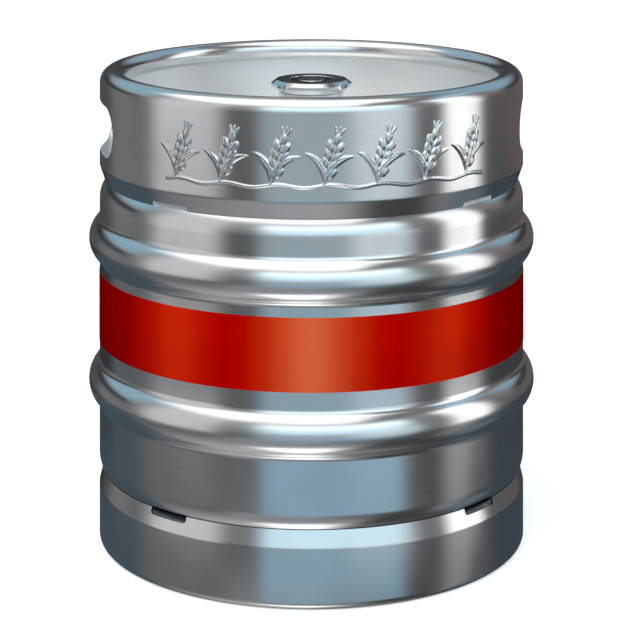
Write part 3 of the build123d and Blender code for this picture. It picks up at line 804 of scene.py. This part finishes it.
def build_top_chime():
    inner_rim = BODY_R - RIM_WIDTH
    low = HEIGHT - RIM_DEPTH
    corners = [
        TOP_SKIRT_EDGE,
        (BODY_R, TOP_SKIRT_Z),
        (BODY_R, HEIGHT),
        (inner_rim, HEIGHT),
        (inner_rim, low),
        (CURL_END_R, low),
    ]
    rows = np.linspace(WALL_LOW_Z, WALL_HIGH_Z, WALL_ROWS)
    bends = [SKIRT_BEND_R, RIM_OUTER_R, RIM_CURL_R, RIM_CURL_R]
    outer, inner = chime_lines(corners, bends, 1, TOP_KNUCKLE, rows)
    angles = chime_angles(relief=True)
    cut = TOP_NOTCH_Z - outer[0][1]
    columns = np.concatenate(
        [
            skirt_columns(outer, notch_depth(angles, cut), angles),
            skirt_columns(inner, notch_depth(angles, cut - NOTCH_BEVEL), angles)[:, ::-1],
        ],
        axis=1,
    )
    count = columns.shape[1]
    wall_start = int(np.argmin(np.abs(outer[:, 1] - rows[0]) + np.abs(outer[:, 0] - BODY_R)))
    inner_start = int(np.argmin(np.abs(inner[:, 1] - rows[0]) + np.abs(inner[:, 0] - BODY_R + CHIME_T)))
    pressed = RELIEF_H * relief_height(angles, rows)
    columns[:, wall_start:wall_start + WALL_ROWS, 0] += pressed
    back = count - 1 - inner_start
    columns[:, back - WALL_ROWS + 1:back + 1, 0] += pressed[:, ::-1]
    faces = grid_faces(len(angles), count)
    keep = np.ones(faces.shape[:2], bool)
    # A column's quads reach to the next one, so the patch's last column keeps its quads.
    in_sector = np.abs((angles + 90) % 180 - 90 + 0.25) < HOLE_SECTOR
    keep[np.ix_(in_sector, np.arange(wall_start, wall_start + WALL_ROWS - 1))] = False
    keep[np.ix_(in_sector, np.arange(back - WALL_ROWS + 1, back))] = False
    parts = [(on_circle(columns, angles), faces[keep])]
    parts += [hand_hole_patch(side, rows) for side in (1, -1)]
    piece = make_piece("top_chime_skin", parts, MATERIALS["chime_steel"], "keg", sharp=50)
    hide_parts("top_chime")


def build_foot_chime():
    inner_roll = BODY_R - FOOT_WIDTH
    corners = [
        FOOT_SKIRT_EDGE,
        (BODY_R, FOOT_SKIRT_Z),
        (BODY_R, 0),
        (inner_roll, 0),
        (inner_roll, FOOT_DEPTH),
        (CURL_END_R, FOOT_DEPTH),
    ]
    bends = [SKIRT_BEND_R, FOOT_ROLL_R, FOOT_ROLL_R, FOOT_ROLL_R]
    outer, inner = chime_lines(corners, bends, -1, FOOT_KNUCKLE)
    angles = chime_angles(relief=False)
    cut = outer[0][1] - FOOT_NOTCH_Z
    columns = np.concatenate(
        [
            skirt_columns(outer, notch_depth(angles, cut), angles),
            skirt_columns(inner, notch_depth(angles, cut - NOTCH_BEVEL), angles)[:, ::-1],
        ],
        axis=1,
    )
    parts = [(on_circle(columns, angles), grid_faces(len(angles), columns.shape[1]))]
    piece = make_piece("foot_chime_skin", parts, MATERIALS["chime_steel"], "keg", sharp=50)
    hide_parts("foot_chime")


# ---------------------------------------------------------------- welds and springs
def bead_run(corner, toes, start, end, taper):
    """Grid of a fillet bead from one angle to another, with ripples across its face."""
    corner, first, last = (np.array(p, float) for p in (corner, *toes))
    length = math.radians(end - start) * corner[0]
    count = max(8, int(length / RIPPLE_PITCH * RIPPLE_STEPS))
    distance = np.linspace(0, length, count)
    share = np.linspace(0, 1, 9)
    chord = first + (last - first) * share[:, None]
    face_out = chord.mean(0) - corner
    face_out /= np.linalg.norm(face_out)
    belly = np.sin(math.pi * share)
    phase = distance[:, None] / RIPPLE_PITCH + RIPPLE_LAG * belly
    ripple = RIPPLE_H * np.abs(np.sin(math.pi * phase)) * belly
    face = chord[None] + face_out * (BEAD_BELLY * belly + ripple)[..., None]
    line = np.concatenate([face, np.broadcast_to(corner, (count, 1, 2))], axis=1)
    if taper > 0:
        middle = (corner + first + last) / 3  # the run's ends close down to this point
        from_end = np.clip(np.minimum(distance, length - distance) / taper, 0, 1)
        size = np.sqrt(1 - (1 - from_end) ** 2)[:, None, None]
        line = middle + (line - middle) * size
    angles = start + np.degrees(distance / corner[0])
    return on_circle(line, angles)


def bead_piece(name, runs, node):
    parts = []
    for points, closed in runs:
        parts.append((points, grid_faces(points.shape[0], points.shape[1], closed, True)))
    piece = make_piece(name, parts, MATERIALS["weld_steel"], "keg", sharp=60)
    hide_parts(node)


def knuckle_z(radius, knuckle, up):
    """Height of a dome's outside at a radius, on its knuckle or its crown."""
    centre_r, centre_z, knuckle_r = knuckle
    return centre_z + up * math.sqrt(knuckle_r**2 - (radius - centre_r) ** 2)


def build_skirt_weld(name, node, edge, skirt_z, knuckle, up):
    """Four runs of weld in the corner between a dome and the inside of a chime's skirt."""
    slope = (BODY_R - edge[0]) / (skirt_z - edge[1])
    inset = (CHIME_T + SEAM_GAP) / math.hypot(1, slope)
    gap_knuckle = (knuckle[0], knuckle[1], knuckle[2] + SEAM_GAP)

    def inner_skirt_r(z):
        return edge[0] - inset + (z - edge[1] - up * inset * abs(slope)) * slope

    corner_r = edge[0] - inset
    for _ in range(6):
        corner_z = knuckle_z(corner_r, gap_knuckle, up)
        corner_r = inner_skirt_r(corner_z)
    dome_toe_r = corner_r - WELD_LEG
    skirt_toe_z = corner_z + up * WELD_LEG
    toes = (
        (dome_toe_r, knuckle_z(dome_toe_r, gap_knuckle, up)),
        (inner_skirt_r(skirt_toe_z), skirt_toe_z),
    )
    reach = math.degrees(math.asin((NOTCH_HALF_L + WELD_MARGIN) / corner_r))
    runs = []
    for notch in NOTCH_ANGLES:
        points = bead_run((corner_r, corner_z), toes, notch + reach, notch + 90 - reach, BEAD_TAPER)
        runs.append((points, False))
    bead_piece(name, runs, node)


def build_neck_weld():
    """Full ring of weld between the dome and the neck."""
    drop = math.sqrt((TOP_CROWN_R - TOP_KNUCKLE[2]) ** 2 - TOP_KNUCKLE[0] ** 2)
    crown_z = TOP_KNUCKLE[1] - drop

    def dome_z(radius):
        return crown_z + math.sqrt(TOP_CROWN_R**2 - radius**2) + SEAM_GAP

    inner = NECK_R + SEAM_GAP
    outer = NECK_R + NECK_WELD_H
    toes = ((outer, dome_z(outer)), (inner, dome_z(inner) + NECK_WELD_H))
    points = bead_run((inner, dome_z(inner)), toes, 0, 360, 0)[:-1]
    bead_piece("neck_weld_bead", [(points, True)], "neck_weld")


def coil_grid(mean_r, wire, turns, low, high):
    """Grid of a compression spring's wire, with a closed coil at each end."""
    steps = int(turns * COIL_STEPS)
    turned = np.linspace(0, turns, steps + 1)
    closed_pitch = wire + CLOSED_GAP
    from_end = np.minimum(turned, turns - turned)
    open_share = np.clip((from_end - CLOSED_TURNS) / OPENING_TURNS, 0, 1)
    open_share = open_share**2 * (3 - 2 * open_share)
    height = high - low - wire - 2 * SEAM_GAP
    middle = (open_share[1:] + open_share[:-1]) / 2
    step = turned[1]
    extra = (height - closed_pitch * turns) / (middle.sum() * step)
    climb = np.concatenate([[0], np.cumsum((closed_pitch + extra * middle) * step)])
    z = low + wire / 2 + SEAM_GAP + climb
    around = np.radians(np.linspace(0, 360, WIRE_STEPS, endpoint=False))
    turn = 2 * math.pi * turned
    size = np.ones(steps + 1)
    size[0] = size[-1] = 0.0
    radius = mean_r + np.outer(size, np.cos(around)) * wire / 2
    rise = z[:, None] + np.outer(size, np.sin(around)) * wire / 2
    turn = np.concatenate([turn[1:2], turn[1:-1], turn[-2:-1]])
    return np.stack([radius * np.cos(turn)[:, None], radius * np.sin(turn)[:, None], rise], -1)


def build_spring(name, node, spring, ends, body):
    """A coil spring with closed end coils, on a mesh of its own and attached to the body it moves with."""
    points = coil_grid(*spring, *ends)
    faces = grid_faces(points.shape[0], points.shape[1], False, True)
    piece = make_piece(name, [(points, faces)], MATERIALS["spring_steel"], body, sharp=80)
    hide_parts(node)
    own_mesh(piece)


# ---------------------------------------------------------------- studio
def light_rig(camera):
    """Empty at the origin that turns with the camera, so the studio keeps its place to the lens."""
    rig = bpy.data.objects.new("studio_rig", None)
    bpy.context.scene.collection.objects.link(rig)
    driver = rig.driver_add("rotation_euler", 2).driver
    for name, kind in (("x", "LOC_X"), ("y", "LOC_Y")):
        variable = driver.variables.new()
        variable.name = name
        variable.type = "TRANSFORMS"
        variable.targets[0].id = camera
        variable.targets[0].transform_type = kind
    driver.expression = "atan2(x, -y)"
    return rig


def panel_mask(tree, azimuth, elevation, azimuths, elevations, soft):
    """1 inside a soft-edged panel, in degrees."""
    mask = None
    for value, (low, high), edge in ((azimuth, azimuths, soft[0]), (elevation, elevations, soft[1])):
        rise = ramp(tree, value, low - edge, low + edge)
        fall = ramp(tree, value, high - edge, high + edge, 1.0, 0.0)
        part = calc(tree, "MULTIPLY", rise, fall)
        mask = part if mask is None else calc(tree, "MULTIPLY", mask, part)
    return mask


# Panels of the studio: azimuths and elevations in degrees from the lens, softness, colour.
PANELS = [
    ("left_back_low", (-250, -108), (-62, -42), (9, 6), (0.125, 0.135, 0.14)),
    ("left_back_floor", (-250, -105), (-46, -15), (9, 4), (0.056, 0.080, 0.100)),
    ("right_back_low", (136, 250), (-68, -46), (9, 6), (0.15, 0.16, 0.17)),
    ("right_back_floor", (112, 250), (-52, -14), (9, 5), (0.045, 0.058, 0.072)),
    ("right_low_blue", (90, 122), (-48, -29), (6, 4), (0.12, 0.15, 0.175)),
    ("centre_floor", (-46, 10), (-54, -20), (11, 3), (0.25, 0.26, 0.275)),
    ("right_floor", (75, 93), (-42, -12), (6, 7), (0.21, 0.212, 0.22)),
    ("left_gap", (-52, -24), (-22, 2), (7, 4), (0.10, 0.10, 0.10)),
    ("left_card", (-92, -49), (-14, 60), (8, 1.5), (0.60, 0.60, 0.61)),
    ("right_card", (75, 101), (-14, 43), (5, 1.5), (1.25, 1.25, 1.25)),
    ("centre_floor_blue", (-26, 50), (-25, -13), (6, 2), (0.24, 0.39, 0.50)),
    ("centre_low", (-27, 52), (-14, 10), (6, 2), (0.335, 0.385, 0.405)),
    ("centre_low_right", (22, 54), (-15, 8), (8, 2), (0.66, 0.72, 0.76)),
    ("centre_middle", (-25, 50), (4, 20), (7, 3), (0.70, 0.98, 1.12)),
    ("centre_high", (-28, 52), (19, 39), (6, 6), (1.16, 1.32, 1.36)),
    ("left_dark", (-250, -106), (-8, 14), (8, 3), (0.035, 0.04, 0.045)),
    ("left_back_dark", (-250, -134), (-17, 14), (7, 2), (0.026, 0.028, 0.030)),
    ("right_dark", (108, 250), (-16, 14), (7, 3), (0.030, 0.031, 0.032)),
    ("left_side", (-150, -108), (-12, 5), (8, 1.5), (0.175, 0.171, 0.167)),
    ("left_far", (-200, -136), (-12, 5), (8, 1.5), (0.073, 0.073, 0.071)),
    ("right_side", (108, 134), (-12, 5), (8, 1.5), (0.096, 0.096, 0.094)),
    ("right_far", (130, 172), (-12, 5), (8, 1.5), (0.115, 0.100, 0.097)),
    ("right_warm", (112, 128), (4, 30), (6, 5), (0.20, 0.17, 0.155)),
    ("left_blue", (-168, -106), (18, 50), (9, 5), (0.26, 0.42, 0.52)),
    ("right_blue", (122, 172), (18, 50), (9, 5), (0.24, 0.38, 0.48)),
    ("below_front", (-43, 19), (-82, -58), (15, 3), (1.5, 1.5, 1.5)),
    ("left_high_blue", (-125, -92), (40, 52), (6, 4), (0.40, 0.53, 0.65)),
    ("right_high_blue", (94, 125), (38, 52), (6, 4), (0.36, 0.52, 0.64)),
]
# Plain studio round the panels: elevation in degrees, brightness on the left and on the right.
BASE_STEPS = [
    (-90, 0.50, 0.40),
    (-72, 0.44, 0.16),
    (-60, 0.38, 0.06),
    (-50, 0.29, 0.05),
    (-40, 0.20, 0.05),
    (-30, 0.13, 0.06),
    (-17, 0.10, 0.07),
    (-13, 0.17, 0.13),
    (10, 0.19, 0.16),
    (40, 0.36, 0.22),
    (55, 0.32, 0.14),
    (66, 0.60, 0.15),
    (76, 0.80, 0.60),
    (90, 0.95, 0.95),
]


RIGHT_SIDE = (34, 205)  # azimuths whose plain studio has the right-hand brightness
OVERHEAD_MIDDLE = -52.0  # azimuth at which the overhead softbox reaches lowest
OVERHEAD_HALF = (70.0, 112.0)  # degrees off its middle over which its lower edge rises
OVERHEAD_RISE = 19.0
OVERHEAD_EDGE = (40.0, 51.0)  # elevations over which it fades in
OVERHEAD_COLOUR = (1.25, 1.25, 1.24)
FLOOR_R = 30.0  # metres
FLOOR_GLOW = 0.55  # lifts the floor to white, outside the foot only
KEY_SIZE = 1.6
KEY_POWER = 12.0
KEY_PLACE = (-0.7, -1.1, 2.0)
KEY_TARGET = (0, 0, 0.2)


def studio_world(rig):
    """Soft studio seen in reflections; the lens itself sees a plain white backdrop."""
    world = bpy.data.worlds.new("studio")
    bpy.context.scene.world = world
    world.use_nodes = True
    tree = world.node_tree
    direction = add(tree, "ShaderNodeTexCoord", object=rig).outputs["Object"]
    x, y, z = add(tree, "ShaderNodeSeparateXYZ", {0: direction}).outputs
    back = calc(tree, "MULTIPLY", y, -1.0)
    azimuth = calc(tree, "DEGREES", calc(tree, "ARCTAN2", x, back))
    elevation = calc(tree, "DEGREES", calc(tree, "ARCSINE", z))
    share = calc(tree, "MULTIPLY_ADD", elevation, 1 / 180, 0.5)
    sides = [add(tree, "ShaderNodeValToRGB", {0: share}) for _ in range(2)]
    for side, node in enumerate(sides):
        stops = [(degrees / 180 + 0.5, [values[side]] * 3) for degrees, *values in BASE_STEPS]
        fill_stops(node.color_ramp, stops)
    to_right = panel_mask(tree, azimuth, elevation, RIGHT_SIDE, (-100, 100), (14, 1))
    colour = mix_colour(tree, to_right, sides[0].outputs[0], sides[1].outputs[0])
    for _, azimuths, elevations, soft, tint in PANELS:
        mask = panel_mask(tree, azimuth, elevation, azimuths, elevations, soft)
        colour = mix_colour(tree, mask, colour, tint)
    colour = mix_colour(tree, overhead_mask(tree, azimuth, elevation), colour, OVERHEAD_COLOUR)
    paths = add(tree, "ShaderNodeLightPath").outputs
    colour = mix_colour(tree, paths["Is Camera Ray"], colour, (1.0, 1.0, 1.0))
    tree.links.new(colour, tree.nodes["Background"].inputs["Color"])


def overhead_mask(tree, azimuth, elevation):
    """Big overhead softbox: it reaches lower in front and to the left than behind."""
    off_middle = calc(tree, "ABSOLUTE", calc(tree, "SUBTRACT", azimuth, OVERHEAD_MIDDLE))
    lift = ramp(tree, off_middle, *OVERHEAD_HALF, 0.0, OVERHEAD_RISE)
    height = calc(tree, "SUBTRACT", elevation, lift)
    return ramp(tree, height, *OVERHEAD_EDGE)


def floor_and_key(rig):
    """Pale floor with a soft shadow, and one broad key light over the camera's shoulder."""
    bpy.ops.mesh.primitive_circle_add(vertices=96, radius=FLOOR_R, fill_type="NGON", location=(0, 0, 0))
    floor = bpy.context.object
    floor.name = "floor"
    material, tree, bsdf = new_material("pale_floor")
    coordinates, _, radius = place_of(tree)
    cloud = ramp(tree, noise(tree, coordinates, 3.0, 3.0), 0.3, 0.7, 0.80, 0.82)
    tone = add(tree, "ShaderNodeCombineColor", {0: cloud, 1: cloud, 2: cloud}).outputs[0]
    tree.links.new(tone, bsdf.inputs["Base Color"])
    bsdf.inputs["Roughness"].default_value = 0.9
    bsdf.inputs["Specular IOR Level"].default_value = 0.0
    bsdf.inputs["Emission Color"].default_value = (1.0, 1.0, 1.0, 1.0)
    glow = ramp(tree, radius, (BODY_R - 9) * MM, (BODY_R - 1) * MM, 0.0, FLOOR_GLOW)
    tree.links.new(glow, bsdf.inputs["Emission Strength"])
    floor.data.materials.append(material)
    floor.visible_glossy = False
    light = bpy.data.lights.new("key", "AREA")
    light.shape = "DISK"
    light.size = KEY_SIZE
    light.energy = KEY_POWER
    key = bpy.data.objects.new("key", light)
    bpy.context.scene.collection.objects.link(key)
    key.parent = rig
    key.location = KEY_PLACE
    key.rotation_euler = (Vector(KEY_TARGET) - key.location).to_track_quat("-Z", "Y").to_euler()
    key.visible_glossy = False


# ---------------------------------------------------------------- camera
CAMERA_AZIMUTH = -4.85
CAMERA_DISTANCE = 1.966
CAMERA_HEIGHT = 0.6871
CAMERA_LENS = 132.6
CAMERA_SHIFT = (-0.0023, -0.9317)


def photo_camera():
    """Level camera above the keg whose lens is shifted down, as in a product photograph.

    The shift is only there while the camera stands at home, so other views are centred.
    """
    data = bpy.data.cameras.new("camera")
    data.lens = CAMERA_LENS
    data.sensor_width = 36.0
    camera = bpy.data.objects.new("camera", data)
    home = bpy.data.objects.new("camera_home", None)
    turn = math.radians(CAMERA_AZIMUTH)
    place = (math.sin(turn) * CAMERA_DISTANCE, -math.cos(turn) * CAMERA_DISTANCE, CAMERA_HEIGHT)
    for thing in (camera, home):
        thing.location = place
        bpy.context.scene.collection.objects.link(thing)
    camera.rotation_euler = (math.radians(90), 0, turn)
    for path, shift in zip(("shift_x", "shift_y"), CAMERA_SHIFT):
        driver = data.driver_add(path).driver
        variable = driver.variables.new()
        variable.name = "d"
        variable.type = "LOC_DIFF"
        variable.targets[0].id = camera
        variable.targets[1].id = home
        driver.expression = f"{shift} if d < 0.001 else 0.0"
    bpy.context.scene.camera = camera
    return camera


# ---------------------------------------------------------------- the scene
keep_cad_nodes()
build_shells()
build_band()
build_top_chime()
build_foot_chime()
build_skirt_weld("top_chime_weld_bead", "top_chime_weld", TOP_SKIRT_EDGE, TOP_SKIRT_Z, TOP_KNUCKLE, 1)
build_skirt_weld("foot_chime_weld_bead", "foot_chime_weld", FOOT_SKIRT_EDGE, FOOT_SKIRT_Z, FOOT_KNUCKLE, -1)
build_neck_weld()
build_spring(
    "gas_spring_coil",
    "gas_spring",
    GAS_SPRING,
    GAS_SPRING_ENDS,
    "spear",
)
build_spring(
    "beer_spring_coil",
    "beer_spring",
    BEER_SPRING,
    BEER_SPRING_ENDS,
    "gas_valve",
)
camera = photo_camera()
rig = light_rig(camera)
studio_world(rig)
floor_and_key(rig)
bpy.context.scene.view_settings.view_transform = "Standard"
